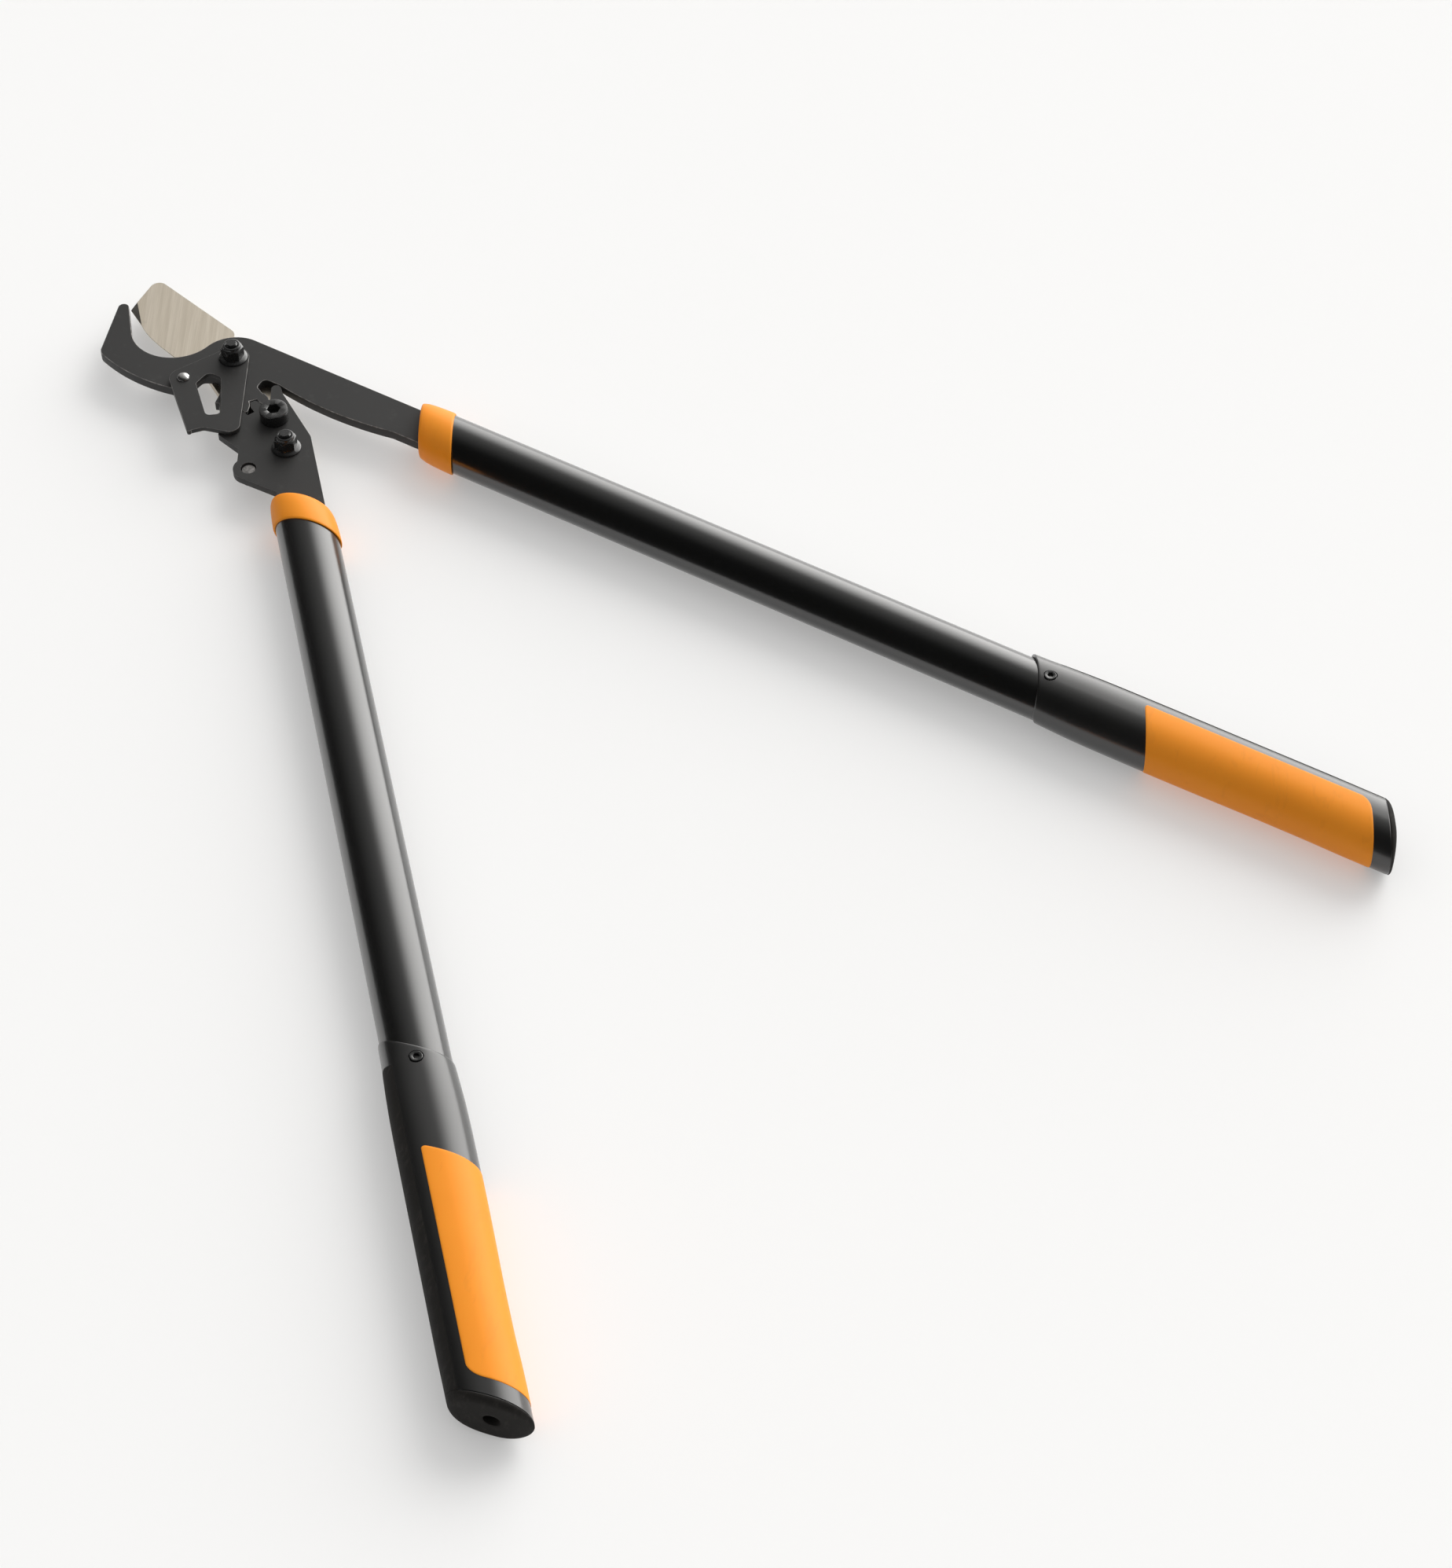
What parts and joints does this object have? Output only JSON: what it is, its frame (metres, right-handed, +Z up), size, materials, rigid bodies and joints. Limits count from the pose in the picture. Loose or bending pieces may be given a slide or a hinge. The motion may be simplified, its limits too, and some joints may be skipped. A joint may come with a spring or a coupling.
{
  "type": "geared bypass lopper",
  "caption": "Geared two-handed pruning shears with a hook, a bypass blade on a toothed lever linkage, oval tube handles and two-colour soft grips.",
  "frame": {"origin": "centre of the bounding box in plan, at the height of the surface that the tool lies on", "axes": "+X along the hook handle from the head to its grip, +Z up through the flat side of the head, with the nuts on top"},
  "size_m": [0.7036, 0.4792, 0.0282],
  "materials": {
    "black_plate": "black coated steel plate, satin, worn bright along its edges",
    "blade_steel": "brushed blade steel, warm grey",
    "bright_steel": "polished steel",
    "black_fasteners": "glossy black finished steel",
    "orange_plastic": "satin orange moulding",
    "orange_rubber": "satin orange soft moulding",
    "black_tube": "glossy black coated oval tube",
    "nylon": "black nylon",
    "black_grip": "black soft moulding, satin on top and matte on the outer side"
  },
  "bodies": {
    "hook_side": {"hook_plate": "black_plate", "guide_plate": "black_plate", "guide_rivet": "bright_steel", "main_bolt": "black_fasteners", "main_washer": "black_fasteners", "main_nut": "black_fasteners", "hook_collar": "orange_plastic", "hook_insert": "nylon", "hook_tube": "black_tube", "hook_grip": "black_grip", "hook_inlay": "orange_rubber", "hook_screw": "black_fasteners"},
    "blade_side": {"blade": "blade_steel", "lever_bolt": "black_fasteners", "lever_washer": "black_fasteners", "lever_spacer": "bright_steel", "lever_nut": "black_fasteners"},
    "lever_side": {"gear_plate": "black_plate", "stop_cap": "black_fasteners", "lobe_pin": "black_plate", "lever_collar": "orange_plastic", "lever_insert": "nylon", "lever_tube": "black_tube", "lever_grip": "black_grip", "lever_inlay": "orange_rubber", "lever_screw": "black_fasteners"}
  },
  "joints": [
    {"name": "blade_pivot", "type": "hinge", "parent": "hook_side", "child": "blade_side", "pos_m": [-0.27717, 0.20549, 0.01353], "axis": [0, 0, 1], "range_deg": [-20.99, 16.38]},
    {"name": "lever_pivot", "type": "hinge", "parent": "blade_side", "child": "lever_side", "pos_m": [-0.21819, 0.16777, 0.01353], "axis": [0, 0, 1], "range_deg": [-20.02, 15.63]}
  ],
  "couplings": [
    {"joint": "blade_pivot", "follows": "lever_pivot", "ratio": 1.0476}
  ]
}
